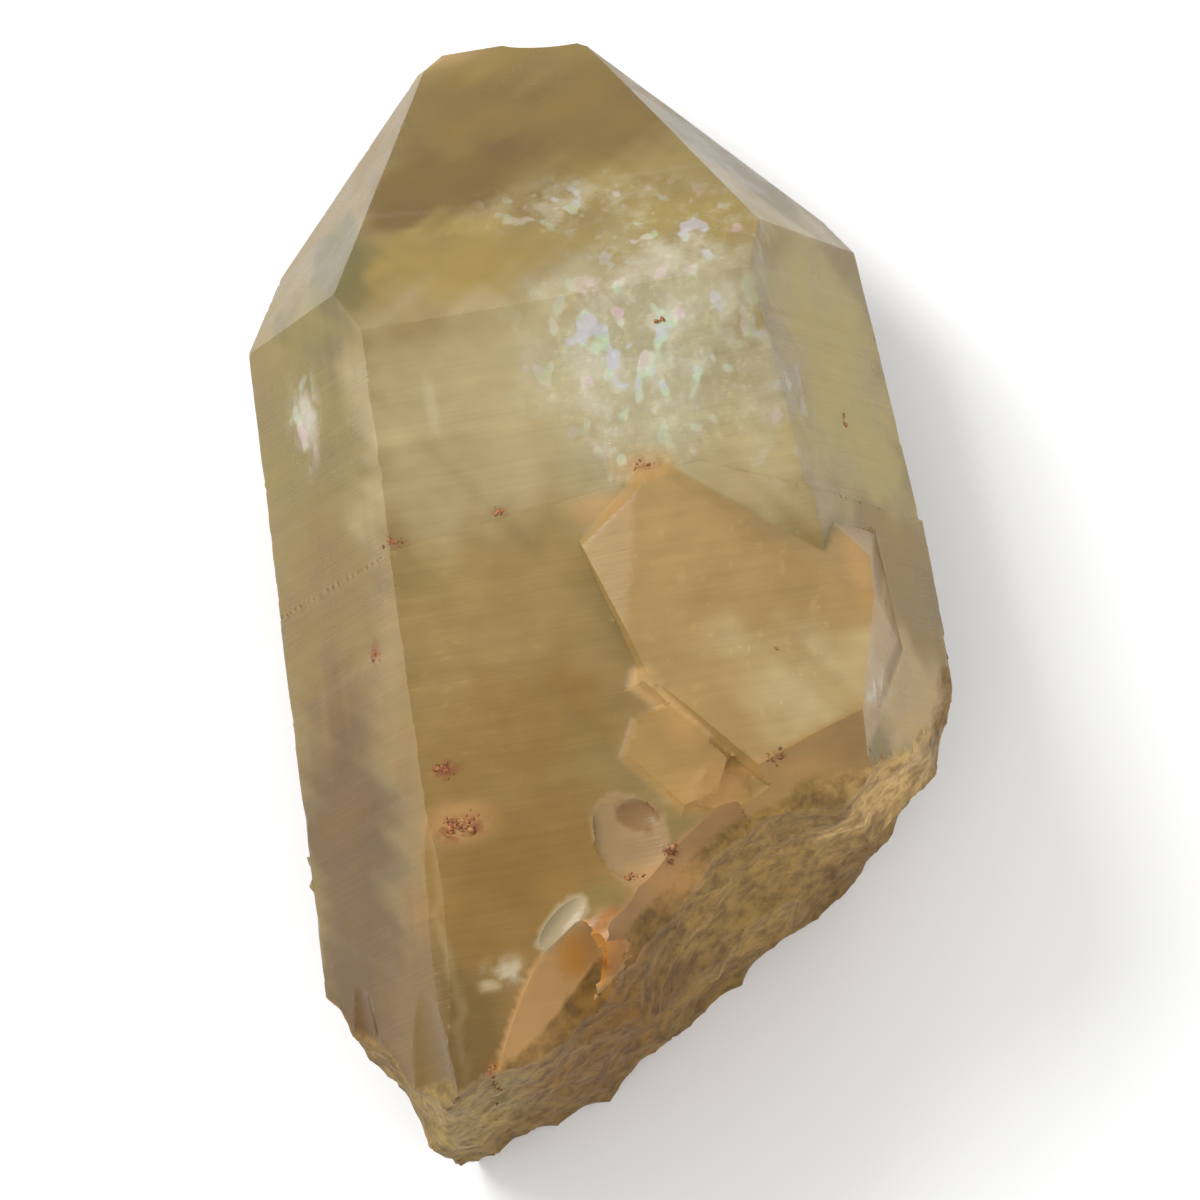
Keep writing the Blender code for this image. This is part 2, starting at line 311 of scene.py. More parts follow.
def blendedLeast(one, two, reach):
    # the lesser of two fields, with the crease between them filled over the given reach
    share = np.clip(0.5 + 0.5 * (two - one) / reach, 0, 1)
    return two * (1 - share) + one * share - reach * share * (1 - share)


def grownField(points):
    # the crystals and knobs as they grew: the least of their fields
    field = facetedField(points, bigCrystal)
    field = blendedLeast(field, facetedField(points, growthCoat), 0.12)
    low = points[:, 1] < 14
    field[low] = np.minimum(field[low], facetedField(points[low], secondCrystal))
    for centre, size, turn, tilt in smallCrystals.values():
        near = np.linalg.norm(points - centre, axis=1) < 9
        small = smallCrystalField(points[near], centre, size, turn, tilt)
        field[near] = blendedLeast(field[near], small, stoneShape["crease"])
    for centre, radii, turn in knobs.values():
        near = np.linalg.norm(points - centre, axis=1) < 6
        knob = knobField(points[near], centre, radii, turn)
        field[near] = blendedLeast(field[near], knob, stoneShape["crease"])
    return field


def flakedField(points):
    # less than 0 outside every hollow: the greatest of the egg fields with their sign changed
    field = np.full(len(points), -1e3)
    for middle, faces, runs, size in flakes.values():
        near = np.linalg.norm(points - middle, axis=1) < size[0] + 3
        field[near] = np.maximum(field[near], -flakeField(points[near], middle, faces, runs, size))
    return field


def brokenField(points, grown):
    # the greatest of the breaks' fields, worked out only near the root's surface
    field = np.full(len(points), -1e3)
    near = (grown < 1.5) & (points[:, 1] < 12)
    for name in breaks:
        field[near] = np.maximum(field[near], breakField(points[near], name))
    return field


def stoneField(points):
    # less than 0 inside the stone: in the grown forms, and out of the hollows and breaks
    grown = grownField(points)
    return np.maximum(np.maximum(grown, flakedField(points)), brokenField(points, grown))


def slope(points, field, reach=0.03):
    # unit slope of a field, from its values a little to both sides along x, y and z
    sides = []
    for axis in np.eye(3):
        sides.append(field(points + axis * reach) - field(points - axis * reach))
    sides = np.stack(sides, axis=1)
    return sides / (np.linalg.norm(sides, axis=1, keepdims=True) + 1e-12)


def latticeValues(low, counts, step):
    # the field at every lattice place, worked out a slab at a time
    across = low[1] + np.arange(counts[1]) * step
    up = low[2] + np.arange(counts[2]) * step
    y, z = np.meshgrid(across, up, indexing="ij")
    values = np.empty(counts)
    for index in range(counts[0]):
        x = np.full(y.size, low[0] + index * step)
        values[index] = stoneField(np.stack([x, y.ravel(), z.ravel()], axis=1)).reshape(y.shape)
    return values


def surfaceMesh(low, high, step):
    # Where a lattice edge crosses the surface, the crossing and the slope there give a plane.
    # Each lattice cell's vertex is the place nearest to all its planes, so it sits on a crystal's
    # edge or corner where one passes through. Each crossing edge's four cells make a face.
    counts = np.ceil((high - low) / step).astype(int) + 1
    values = latticeValues(low, counts, step)
    cells = counts - 1
    crossings, cellRings, turned = [], [], []
    for axis in range(3):
        first = [slice(None)] * 3
        last = [slice(None)] * 3
        first[axis], last[axis] = slice(None, -1), slice(1, None)
        start, end = values[tuple(first)], values[tuple(last)]
        where = np.argwhere((start < 0) != (end < 0))
        spots = tuple(where.T)
        a, b = start[spots], end[spots]
        near, far = np.zeros(len(a)), np.ones(len(a))
        base = low + where * step
        direction = np.eye(3)[axis] * step
        for _ in range(4):  # closes in on the crossing
            share = near + (far - near) * np.clip(a / (a - b), 0.08, 0.92)
            middle = stoneField(base + direction * share[:, None])
            inside = (middle < 0) == (a < 0)
            near, a = np.where(inside, share, near), np.where(inside, middle, a)
            far, b = np.where(inside, far, share), np.where(inside, b, middle)
        share = near + (far - near) * (a / (a - b))
        crossings.append(base + direction * share[:, None])
        one, two = np.eye(3, dtype=int)[(axis + 1) % 3], np.eye(3, dtype=int)[(axis + 2) % 3]
        ring = np.stack([where - one - two, where - two, where, where - one], axis=1)
        cellRings.append(ring @ np.array([cells[1] * cells[2], cells[2], 1]))
        turned.append(start[spots] >= 0)
    crossings = np.concatenate(crossings)
    cellRings = np.concatenate(cellRings)
    turned = np.concatenate(turned)
    normals = slope(crossings, stoneField)
    used, corners = np.unique(cellRings, return_inverse=True)
    corners = corners.reshape(cellRings.shape)

    def gather(amount):
        return np.bincount(corners.ravel(), np.repeat(amount, 4), len(used))

    share = gather(np.ones(len(crossings)))
    middle = np.stack([gather(crossings[:, i]) for i in range(3)], axis=1) / share[:, None]
    outer = np.stack([[gather(normals[:, i] * normals[:, j]) for j in range(3)] for i in range(3)])
    outer = outer.transpose(2, 0, 1)
    reach = (normals * crossings).sum(axis=1)
    pull = np.stack([gather(normals[:, i] * reach) for i in range(3)], axis=1)
    left = pull - np.einsum("nij,nj->ni", outer, middle)
    held = outer + stoneShape["centrePull"] * np.eye(3)
    vertices = middle + np.linalg.solve(held, left[:, :, None])[:, :, 0]
    cellLow = low + np.stack(np.unravel_index(used, cells), axis=1) * step
    vertices = np.clip(vertices, cellLow, cellLow + step)
    quads = np.where(turned[:, None], corners[:, ::-1], corners)
    acrossOne = (vertices[quads[:, 0]] + vertices[quads[:, 2]]) / 2
    acrossTwo = (vertices[quads[:, 1]] + vertices[quads[:, 3]]) / 2
    other = np.abs(stoneField(acrossTwo)) < np.abs(stoneField(acrossOne)) - 1e-4
    quads = np.where(other[:, None], np.roll(quads, -1, axis=1), quads)
    triangles = np.concatenate([quads[:, [0, 1, 2]], quads[:, [0, 2, 3]]])
    return vertices, triangles


def meshPiece(name, vertices, faces, material):
    # vertices in millimetres from the axis place, faces as one array with the same corner count
    mesh = bpy.data.meshes.new(name)
    places = (np.asarray(vertices) + axisPlace) * metresPerMm
    faces = np.asarray(faces, dtype=np.int32)
    mesh.vertices.add(len(places))
    mesh.vertices.foreach_set("co", places.ravel())
    mesh.loops.add(faces.size)
    mesh.loops.foreach_set("vertex_index", faces.ravel())
    mesh.polygons.add(len(faces))
    mesh.polygons.foreach_set("loop_start", np.arange(0, faces.size, faces.shape[1], dtype=np.int32))
    mesh.update(calc_edges=True)
    mesh.validate()
    mesh.shade_smooth()
    piece = bpy.data.objects.new(name, mesh)
    bpy.context.scene.collection.objects.link(piece)
    mesh.materials.append(material)
    return piece


def addShare(piece, name, values):
    # one number at each vertex, for the material to read
    attribute = piece.data.attributes.new(name, "FLOAT", "POINT")
    attribute.data.foreach_set("value", np.asarray(values, dtype=np.float32))


def addColour(piece, name, colours):
    # red, green and blue at each vertex, kept as a vector
    attribute = piece.data.attributes.new(name, "FLOAT_VECTOR", "POINT")
    attribute.data.foreach_set("vector", np.asarray(colours, dtype=np.float32).ravel())


# colours as seen in daylight, as 0 to 255 values; each cloud is mixed in over the ones before it:
# centre, reach, colour, strength, and how soft its edge is
stoneColours = {
    "ground": (158, 134, 74),
    "clouds": {
        "tip smoke": ((1.0, 38.0, 0), (14, 9, 14), (141, 112, 36), 1.0, 0.5),
        "tip light": ((0.0, 46.0, -5), (9, 4, 8), (156, 127, 46), 0.7, 0.6),
        "smoke lobe": ((-5.0, 33.0, 4), (6, 5, 7), (128, 98, 24), 0.9, 0.3),
        "point low left": ((-6.5, 25.5, 9), (10, 5, 7), (175, 146, 64), 0.9, 0.5),
        "point low right": ((9.5, 27.5, 7), (8, 8, 7), (177, 153, 80), 0.9, 0.6),
        "left point": ((-14.8, 28.0, 5), (4.0, 12, 8), (118, 108, 50), 0.9, 0.3),
        "right point": ((15.5, 33.0, -2), (5.5, 10, 7), (130, 112, 58), 0.9, 0.3),
        "upper face": ((-5.0, 13.5, 13), (13, 11, 6), (204, 184, 132), 0.95, 0.5),
        "iris": ((6.0, 15.5, 13), (9.5, 11, 6), (206, 197, 156), 0.95, 0.7),
        "left upper": ((-18.5, 14.0, 6), (6, 14, 8), (156, 136, 64), 0.9, 0.5),
        "left middle": ((-19.0, 2.0, 6), (6, 12, 8), (154, 124, 56), 0.9, 0.5),
        "left low": ((-20.0, -14.0, 6), (6, 14, 8), (118, 85, 18), 0.9, 0.5),
        "face middle": ((-8.5, -2.0, 14), (10, 9, 5), (177, 145, 86), 0.95, 0.5),
        "face band": ((-9.0, -9.5, 14), (10, 6, 5), (165, 129, 62), 0.95, 0.5),
        "face band light": ((-8.5, -14.6, 15), (9, 1.6, 4), (166, 124, 62), 0.7, 0.8),
        "face low": ((-10.0, -19.5, 15), (9, 6, 5), (171, 129, 57), 0.9, 0.5),
        "face right": ((3.5, -9.0, 14), (6, 8, 5), (176, 142, 84), 0.9, 0.6),
        "pale right": ((12.0, 6.5, 13), (6, 5, 5), (204, 184, 132), 0.9, 0.6),
        "root": ((-16.0, -29.0, 12), (10, 10, 10), (136, 104, 46), 0.9, 0.5),
        "right upper": ((19.0, 13.0, 5), (7, 16, 10), (200, 178, 98), 0.95, 0.4),
        "left foot": ((-20.5, -29.0, 4), (5, 9, 8), (112, 78, 18), 0.9, 0.5),
        "right strip": ((20.5, -1.0, 4), (5, 7, 8), (166, 134, 58), 0.95, 0.3),
        "right lump": ((20.5, -11.0, 6), (5.5, 6, 10), (214, 183, 118), 0.95, 0.4),
    },
    "details": {
        "tip rim": ((-5.5, 46.5, -6), (5.5, 2.2, 3), (206, 170, 112), 0.7, 0.6),
        "root glint": ((-10.8, -24.4, 15.5), (1.1, 0.5, 2), (222, 208, 172), 0.8, 0.5),
        "root glint foot": ((-12.4, -25.2, 15.5), (0.9, 0.35, 2), (214, 196, 152), 0.7, 0.5),
        "corner glint": ((16.9, -10.2, 15.0), (1.5, 0.4, 2), (232, 226, 204), 0.8, 0.6),
        "pale seam": ((-14.6, -25.0, 15), (0.4, 8.0, 3), (196, 170, 120), 0.3, 0.6),
        "left chip": ((-18.2, 17.4, 5), (1.0, 2.2, 3), (216, 208, 184), 0.8, 0.6),
        "upper wisp": ((-9.4, 15.0, 14), (0.5, 2.6, 2), (226, 212, 170), 0.6, 0.7),
    },
    "second": (193, 159, 97),
    "secondClouds": {
        "second low": ((12.0, -8.5, 15), (6, 5, 4), (217, 192, 138), 1.0, 0.7),
        "second side": ((20.8, -4.0, 8), (3.0, 11, 9), (152, 118, 48), 1.0, 0.5),
        "second roof": ((11.5, 3.5, 14), (7, 2.2, 4), (184, 152, 92), 0.8, 0.6),
    },
    "sliver": (226, 184, 118),
    "wedge": (192, 153, 84),
    "wedge foot": (172, 132, 66),
    "knobs": {
        "peach knob": (180, 116, 48),
        "edge knob": (202, 154, 96),
        "wedge knob": (196, 150, 88),
    },
    "flakes": {
        "peach flake": (228, 176, 108),
        "amber notch": (206, 138, 40),
        # pale: a painted highlight on the small sliver facet facing up-left
        "white sliver": (206, 186, 144),
        "window": (186, 154, 104),
        "pit": (162, 124, 76),
        "pink band": (188, 144, 88),
        "under second": (196, 156, 92),
    },
    "brokenGround": (156, 122, 62),
    "brokenClouds": {
        "broken middle": ((6.0, -19.5, 4), (8, 6, 14), (178, 142, 72), 1.0, 0.6),
        "broken low": ((-4.0, -27.5, 4), (8, 6, 14), (144, 102, 30), 1.0, 0.6),
        "broken corner": ((19.5, -12.0, 6), (5, 6, 10), (200, 172, 126), 1.0, 0.6),
        "broken tail": ((-16.0, -33.0, 4), (6, 7, 14), (172, 146, 84), 1.0, 0.6),
        "broken high": ((14.5, -13.0, 4), (7, 6, 12), (232, 192, 122), 1.0, 0.6),
    },
    "peach": (236, 176, 104),
    "amber": (226, 152, 44),
    "rust": (150, 76, 30),
}


def linear(colour):
    # screen value to light: the usual screen curve
    share = np.array(colour, float) / 255
    return np.where(share <= 0.04045, share / 12.92, ((share + 0.055) / 1.055) ** 2.4)


def softStep(amount, low, high):
    # 0 below low, 1 above high, with a smooth rise between
    share = np.clip((amount - low) / (high - low), 0, 1)
    return share * share * (3 - 2 * share)


def cloudShare(points, centre, reach, softness):
    # 1 inside an egg-shaped cloud and 0 outside, over a band of the given softness
    spread = np.linalg.norm((points - centre) / reach, axis=1)
    return 1 - softStep(spread, 1 - softness, 1 + 0.4 * softness)


def wander(points):
    # shifts each place by sine waves of three sizes, so that clouds get ragged outlines
    shift = np.zeros_like(points)
    for size, turn in ((9.0, 1.1), (4.1, 0.7), (1.9, 0.38)):
        waves = points[:, [1, 2, 0]] * (6.28 / size) + points[:, [2, 0, 1]] * (4.4 / size)
        shift += turn * np.sin(waves + size)
    return points + shift


def mixed(tint, colour, share):
    # a straight mix of two colours, by one share for each place
    return tint * (1 - share[:, None]) + colour * share[:, None]


def cloudyTint(points, ground, clouds):
    # the ground colour with each cloud's colour mixed over it
    tint = np.broadcast_to(ground, points.shape)
    for centre, reach, colour, strength, softness in clouds.values():
        share = cloudShare(points, centre, reach, softness) * strength
        tint = mixed(tint, linear(colour), share)
    return tint


# how far off a form's own surface its colour or dullness holds in full, and where it ends
borders = {
    "second": (0.0, 0.22),
    "small": (0.12, 0.5),
    "flake": (0.03, 0.14),
    "dull": (0.25, 0.6),
    "broken": (-0.25, 0.1),
}


def secondShare(points):
    # 1 on the second crystal, 0 where the big one's faces lie over it; its own point ends at y 9
    others = np.minimum(facetedField(points, bigCrystal), facetedField(points, growthCoat))
    own = facetedField(points, secondCrystal)
    return softStep(others - own, *borders["second"]) * (points[:, 1] < 9)


def formShare(field, border):
    # 1 on a small form's own surface, falling to 0 off it
    return 1 - softStep(np.abs(field), *borders[border])


def dullShare(points):
    # 1 in and on the stubby crystals and their creases
    share = np.zeros(len(points))
    for form in smallCrystals.values():
        own = 1 - softStep(smallCrystalField(points, *form), *borders["dull"])
        share = np.maximum(share, own)
    return share


def stoneTint(points, broken):
    # the clouds, then each form's own colour over them, then the broken root's clouds
    ragged = wander(points)
    whole = cloudyTint(ragged, linear(stoneColours["ground"]), stoneColours["clouds"])
    inSecond = cloudyTint(ragged, linear(stoneColours["second"]), stoneColours["secondClouds"])
    whole = mixed(whole, inSecond, secondShare(points))
    whole = cloudyTint(points + 0.2 * (ragged - points), whole, stoneColours["details"])
    for name, form in smallCrystals.items():
        share = formShare(smallCrystalField(points, *form), "small")
        whole = mixed(whole, linear(stoneColours[name]), share)
    for name, colour in stoneColours["knobs"].items():
        whole = mixed(whole, linear(colour), formShare(knobField(points, *knobs[name]), "small"))
    for name, colour in stoneColours["flakes"].items():
        whole = mixed(whole, linear(colour), formShare(flakeField(points, *flakes[name]), "flake"))
    rough = cloudyTint(ragged, linear(stoneColours["brokenGround"]), stoneColours["brokenClouds"])
    return mixed(whole, rough, broken)


# iron stain: middle, reach, how strong
peachStains = {
    "apex": ((4.0, 8.0, 14.5), (2.6, 1.6, 2), 0.55),
    "apex run": ((0.6, 5.6, 14.5), (2.6, 1.4, 2), 0.5),
    "shoulder": ((17.0, -1.5, 14.5), (1.0, 4.2, 3), 0.55),
    "peach flake": ((-9.6, -29.2, 14.5), (2.6, 6.0, 3), 0.35),
    "peach knob": ((-3.8, -24.0, 14.5), (2.2, 2.8, 4), 0.4),
    "pink band": ((1.4, -20.4, 14.6), (4.2, 2.0, 3), 0.65),
    "wedge foot": ((4.6, -15.0, 15), (3.6, 2.0, 3), 0.5),
    "sliver": ((3.6, -9.4, 15), (1.6, 3.4, 2), 0.5),
    "rust run": ((8.5, -14.2, 15), (4.5, 1.2, 2), 0.6),
    "left stain": ((-12.6, -14.4, 15.4), (2.6, 1.8, 2), 0.6),
}
amberStains = {
    "notch": ((-6.3, -24.6, 15.0), (1.4, 1.7, 2), 1.0),
    "flake edge": ((-12.6, -32.0, 15.0), (0.7, 1.8, 2), 0.6),
}
rustSpots = {
    "band": ((-12.8, -10.6, 15.1), (1.3, 0.9, 1), 0.9),
    "low": ((-12.4, -14.8, 15.3), (2.2, 1.1, 1), 1.0),
    "knob": ((1.1, -18.6, 15.4), (0.8, 1.1, 1.2), 0.9),
    "under second": ((9.1, -13.7, 15.2), (1.3, 0.8, 1.2), 0.9),
    "flake foot": ((-13.2, -31.8, 15.8), (0.5, 1.6, 1.5), 1.0),
    "left edge": ((-13.6, 5.5, 14.1), (1.0, 0.4, 1), 0.7),
    "face": ((-6.2, 6.5, 14.1), (0.8, 0.5, 1), 0.5),
    "left face": ((-16.1, -1.1, 11.0), (0.8, 1.2, 1.5), 0.7),
    "second": ((10.4, -6.5, 15.0), (0.4, 0.4, 1), 0.8),
    "apex": ((4.2, 8.2, 14.2), (1.2, 0.7, 1), 0.6),
    "notch": ((-4.4, -25.2, 15.0), (0.9, 0.9, 1.5), 0.8),
}


def stainShare(points, stains):
    # the strongest of the stains at each place
    share = np.zeros(len(points))
    for centre, reach, strength in stains.values():
        share = np.maximum(share, strength * cloudShare(points, centre, reach, 0.8))
    return share


class Shade:
    # short ways to add and join material nodes
    def __init__(self, name):
        self.material = bpy.data.materials.new(name)
        self.material.use_nodes = True
        self.tree = self.material.node_tree
        self.shader = self.tree.nodes["Principled BSDF"]
        self.output = self.tree.nodes["Material Output"]
        self.place = self.tree.nodes.new("ShaderNodeTexCoord").outputs["Object"]

    def node(self, kind, settings=None, **inputs):
        made = self.tree.nodes.new("ShaderNode" + kind)
        for key, value in (settings or {}).items():
            setattr(made, key, value)
        for key, value in inputs.items():
            self.fill(made.inputs[key.replace("_", " ")], value)
        return made

    def fill(self, socket, value):
        if isinstance(value, bpy.types.NodeSocket):
            self.tree.links.new(value, socket)
        else:
            socket.default_value = value

    def attribute(self, name, output="Fac"):
        return self.node("Attribute", {"attribute_name": name}).outputs[output]

    def noise(self, scale, detail=2.0, roughness=0.55, stretch=(1, 1, 1)):
        place = self.node("Mapping", Vector=self.place, Scale=stretch).outputs[0]
        made = self.node("TexNoise", Vector=place, Scale=scale, Detail=detail, Roughness=roughness)
        return made.outputs["Fac"]

    def ranged(self, value, low, high, toLow=0.0, toHigh=1.0):
        # toLow below low, toHigh above high, with a smooth rise between
        made = self.node("MapRange", {"interpolation_type": "SMOOTHSTEP", "clamp": True})
        for index, amount in enumerate((value, low, high, toLow, toHigh)):
            self.fill(made.inputs[index], amount)
        return made.outputs[0]

    def maths(self, operation, one, two=0.0):
        made = self.node("Math", {"operation": operation})
        self.fill(made.inputs[0], one)
        self.fill(made.inputs[1], two)
        return made.outputs[0]

    def mix(self, share, one, two, blend="MIX"):
        made = self.node("Mix", {"data_type": "RGBA", "blend_type": blend})
        self.fill(made.inputs[0], share)
        self.fill(made.inputs[6], one)
        self.fill(made.inputs[7], two)
        return made.outputs[2]

    def ramp(self, share, stops):
        made = self.node("ValToRGB", Fac=share)
        for index, (place, colour) in enumerate(stops):
            point = made.color_ramp.elements[index] if index < 2 else made.color_ramp.elements.new(place)
            point.position = place
            point.color = colour
        return made.outputs[0]


def solid(colour):
    return (*linear(colour), 1.0)


citrineLook = {
    "ior": 1.55,
    "seeThrough": 0.5,
    "mirror": 0.1,  # the specular level of the part that isn't see-through
    "depthColour": (0.80, 0.62, 0.30, 1),
    "depthDensity": 38.0,
    "mottle": [(0.25, (0.70, 0.68, 0.64, 1)), (0.75, (1.24, 1.24, 1.22, 1))],
    "mottleShare": 0.55,
    "streaks": [(0.3, (0.84, 0.83, 0.80, 1)), (0.7, (1.10, 1.10, 1.10, 1))],
    "streakShare": 0.32,
    "milk": (0.88, 0.84, 0.66, 1),
    "milkShare": 0.55,
    "rainbow": [
        (0.32, (0.95, 0.66, 0.74, 1)),
        (0.44, (0.97, 0.94, 0.80, 1)),
        (0.54, (0.66, 0.95, 0.62, 1)),
        (0.64, (0.78, 0.78, 0.95, 1)),
    ],
    "rainbowShare": 0.6,
    "sugar": [(0.34, (0.66, 0.62, 0.56, 1)), (0.62, (1.30, 1.30, 1.26, 1))],
    "gloss": (0.24, 0.38),  # roughness of the faces, from clear patches to dull ones
    "mattRoughness": 0.62,
    "lineRelief": 0.13,
    "breakRelief": 0.9,
    "faceRelief": 0.015,
    "reliefDepth": 0.0004,
    "reliefStrength": 0.6,
}


def citrineMaterial():
    look = citrineLook
    shade = Shade("citrine")
    stain, amber, rust = shade.attribute("peach"), shade.attribute("amber"), shade.attribute("rust")
    broken, veil = shade.attribute("broken"), shade.attribute("veil")
    tint = shade.attribute("tint", "Color")
    # slow mottling, then streaks along the growth lines
    mottle = shade.noise(190, 2.5, 0.6)
    tint = shade.mix(look["mottleShare"], tint, shade.ramp(mottle, look["mottle"]), "MULTIPLY")
    streaks = shade.ramp(shade.noise(150, 2, 0.6, stretch=(0.6, 12, 0.6)), look["streaks"])
    unbroken = shade.maths("MULTIPLY", shade.maths("SUBTRACT", 1.0, broken), shade.attribute("lined"))
    streaked = shade.maths("MULTIPLY", unbroken, look["streakShare"])
    tint = shade.mix(streaked, tint, streaks, "MULTIPLY")
    # veil: milky patches with small rainbow flecks
    patches = shade.ranged(shade.noise(330, 4, 0.68, stretch=(1, 0.8, 1)), 0.42, 0.66)
    milky = shade.maths("MULTIPLY", shade.maths("MULTIPLY", patches, veil), look["milkShare"])
    tint = shade.mix(milky, tint, look["milk"])
    flecks = shade.ranged(shade.noise(780, 1, 0.5, stretch=(1, 0.7, 1)), 0.57, 0.66)
    flecked = shade.maths("MULTIPLY", shade.maths("MULTIPLY", flecks, veil), look["rainbowShare"])
    tint = shade.mix(flecked, tint, shade.ramp(shade.noise(430, 0), look["rainbow"]))
    # rough breaks: sugary grain, pale and brown
    grain = shade.noise(850, 2, 0.72)
    sugary = shade.mix(1.0, tint, shade.ramp(grain, look["sugar"]), "MULTIPLY")
    tint = shade.mix(broken, tint, sugary)
    # stains
    peachy = shade.ranged(grain, 0.30, 0.62, 0.72, 1.0)
    tint = shade.mix(shade.maths("MULTIPLY", stain, peachy), tint, solid(stoneColours["peach"]))
    tint = shade.mix(amber, tint, solid(stoneColours["amber"]))
    rusty = shade.maths("MULTIPLY", rust, shade.ranged(grain, 0.42, 0.58))
    tint = shade.mix(rusty, tint, solid(stoneColours["rust"]))
    shade.fill(shade.shader.inputs["Base Color"], tint)
    # glassy faces, matt breaks and stains
    gloss = shade.ranged(mottle, 0.3, 0.7, *look["gloss"])
    matt = (look["mattRoughness"],) * 3 + (1,)
    shade.fill(shade.shader.inputs["Roughness"], shade.mix(shade.attribute("matt"), gloss, matt))
    # fine lines on the faces and grain on the breaks
    fineLines = shade.noise(420, 1, 0.65, stretch=(0.35, 9, 0.35))
    lines = shade.maths("MULTIPLY", fineLines, shade.maths("MULTIPLY", unbroken, look["lineRelief"]))
    grainy = shade.maths("MULTIPLY", broken, look["breakRelief"])
    grainy = shade.maths("MULTIPLY", grain, shade.maths("ADD", grainy, look["faceRelief"]))
    relief = shade.maths("ADD", lines, grainy)
    bump = shade.node("Bump", Height=relief, Distance=look["reliefDepth"], Strength=look["reliefStrength"])
    shade.fill(shade.shader.inputs["Normal"], bump.outputs[0])
    shade.shader.inputs["IOR"].default_value = look["ior"]
    shade.shader.inputs["Specular IOR Level"].default_value = look["mirror"]
    shade.shader.inputs["Transmission Weight"].default_value = look["seeThrough"]
    depth = shade.node("VolumeAbsorption", Color=look["depthColour"], Density=look["depthDensity"])
    shade.tree.links.new(depth.outputs[0], shade.output.inputs["Volume"])
    return shade.material


# the veil's share of the surface above it
veils = {
    "iris": ((5.6, 16.5, 13.0), (9.0, 8.5, 6), 1.0),
    "iris high": ((9.0, 24.0, 10.0), (7.0, 7.0, 6), 0.8),
    "iris low": ((2.3, 10.0, 13.5), (1.6, 4.5, 4), 1.0),
    "right": ((13.0, 12.0, 12.0), (5.0, 7.0, 5), 0.5),
    "point": ((3.0, 29.5, 7.0), (8.0, 3.5, 4), 0.6),
    "root glints": ((-11.2, -24.6, 15.5), (1.6, 1.2, 2), 0.8),
    "left chip": ((-18.2, 17.4, 5.0), (1.8, 4.0, 3), 0.8),
    "right corner": ((17.8, -9.6, 13), (2.6, 1.6, 4), 1.0),
}


def makeStone():
    low = (np.array(cadBox[0]) / metresPerMm - axisPlace) - stoneShape["margin"]
    high = (np.array(cadBox[1]) / metresPerMm - axisPlace) + stoneShape["margin"]
    low = low + stoneShape["latticeShift"]
    vertices, triangles = surfaceMesh(low, high, stoneShape["latticeStep"])
    stone = meshPiece("stone_skin", vertices, triangles, citrineMaterial())
    places = np.empty(len(stone.data.vertices) * 3, np.float32)
    stone.data.vertices.foreach_get("co", places)
    points = places.reshape(-1, 3) / metresPerMm - axisPlace
    grown = grownField(points)
    broken = softStep(brokenField(points, grown) - grown, *borders["broken"])
    addShare(stone, "broken", broken)
    addColour(stone, "tint", stoneTint(points, broken))
    peach = stainShare(points, peachStains)
    addShare(stone, "peach", peach)
    addShare(stone, "matt", np.maximum(np.maximum(broken, 0.8 * peach), dullShare(points)))
    addShare(stone, "amber", stainShare(points, amberStains))
    addShare(stone, "rust", stainShare(points, rustSpots))
    addShare(stone, "veil", stainShare(points, veils))
    towardsPoint = points[:, 1] + 0.35 * points[:, 2]
    addShare(stone, "lined", 1 - 0.85 * softStep(towardsPoint, *stoneShape["linesEnd"]))
    stone.data.set_sharp_from_angle(angle=math.radians(stoneShape["crispAngle"]))
    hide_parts("citrine_cluster")
    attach(stone, "root")
    print("stone skin:", len(vertices), "vertices,", len(triangles), "triangles")


def topHeight(x, y):
    # height of the stone's top over each place: steps down from above by the field's value
    z = np.full(len(x), 20.0)
    for _ in range(60):
        z -= np.clip(stoneField(np.stack([x, y, z], axis=1)), -0.2, 2.0)
    return z


def lensCloud(centres, axes, radii, rim, ragged, draw):
    # each lens is a ragged ring with one place over its middle and one under it, scaled by its
    # three radii and turned by its axes, so it is closed and has twice as many faces as its rim
    count = len(centres)
    turns = np.linspace(0, 2 * np.pi, rim, endpoint=False)
    ring = np.stack([np.cos(turns), np.sin(turns), 0 * turns], axis=1)
    ring = ring[None] * (1 + ragged * draw.uniform(-1, 1, (count, rim, 1)))
    poles = np.repeat(np.array([[[0, 0, 1.0], [0, 0, -1.0]]]), count, axis=0)
    local = np.concatenate([ring, poles], axis=1) * radii[:, None, :]
    vertices = np.einsum("nvi,nij->nvj", local, axes) + centres[:, None, :]
    here = np.arange(rim)
    after = np.roll(here, -1)
    upper = np.stack([here, after, np.full(rim, rim)], axis=1)
    lower = np.stack([after, here, np.full(rim, rim + 1)], axis=1)
    faces = np.concatenate([upper, lower])[None] + (np.arange(count) * (rim + 2))[:, None, None]
    return vertices.reshape(-1, 3), faces.reshape(-1, 3)


def tumbledAxes(count, tilt, turnMiddle, turnSpread, draw):
    # rows of a turn in plan, then of a lean of up to tilt radians
    turn = turnMiddle + turnSpread * draw.uniform(-1, 1, count)
    lean = tilt * draw.uniform(-1, 1, (count, 2))
    out = np.stack([lean[:, 0], lean[:, 1], np.ones(count)], axis=1)
    out /= np.linalg.norm(out, axis=1, keepdims=True)
    along = np.stack([np.cos(turn), np.sin(turn), np.zeros(count)], axis=1)
    along -= out * (along * out).sum(axis=1, keepdims=True)
    along /= np.linalg.norm(along, axis=1, keepdims=True)
    return np.stack([along, np.cross(out, along), out], axis=1)


